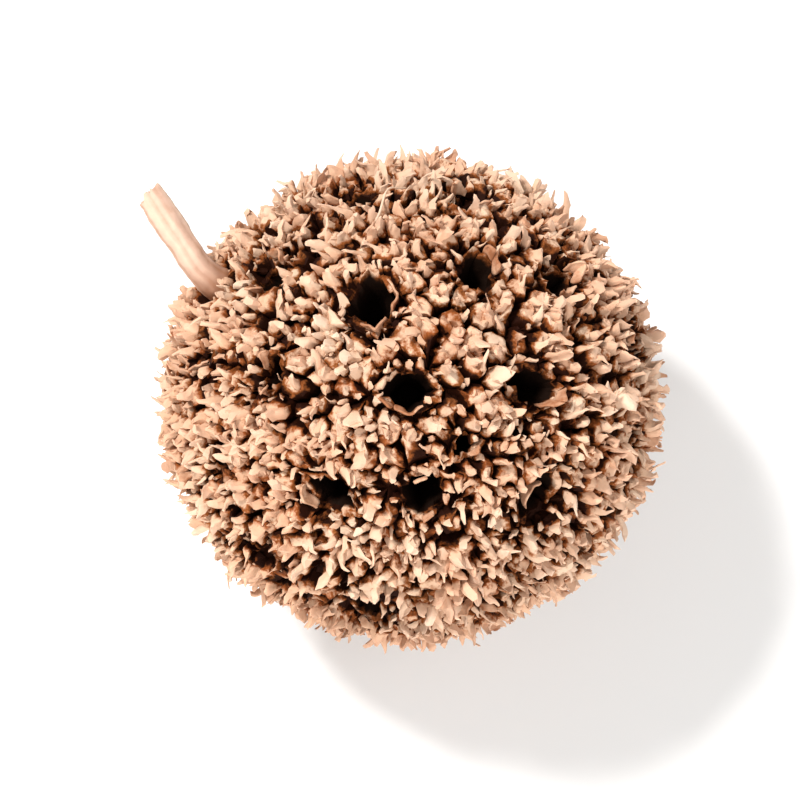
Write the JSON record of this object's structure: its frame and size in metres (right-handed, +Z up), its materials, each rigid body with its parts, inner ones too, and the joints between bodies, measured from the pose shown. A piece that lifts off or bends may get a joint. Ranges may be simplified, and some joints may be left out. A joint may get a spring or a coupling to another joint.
{
  "type": "sweetgum seed ball",
  "caption": "Round woody seed ball covered in short blunt spines, with open rhombic capsules lined by raised lips, a bent stub of stalk and a small worn spot to rest on.",
  "frame": {"origin": "on the floor, in the middle between the three low spines that the ball rests on, at the small flat end of the spine that stands there", "axes": "+Z up out of the resting spot; seen from above as in the picture, +X is to the right and +Y is up the picture, and the stalk leaves the ball at -X, +Y"},
  "size_m": [0.031, 0.0294, 0.0288],
  "materials": {
    "ball_wood": "dry, matt, golden brown with paler spine tips and near-black crevices",
    "stalk_bark": "dry, matt, pale pinkish brown"
  },
  "bodies": {
    "root": {"seed_ball": "ball_wood", "stalk": "stalk_bark"}
  },
  "joints": []
}
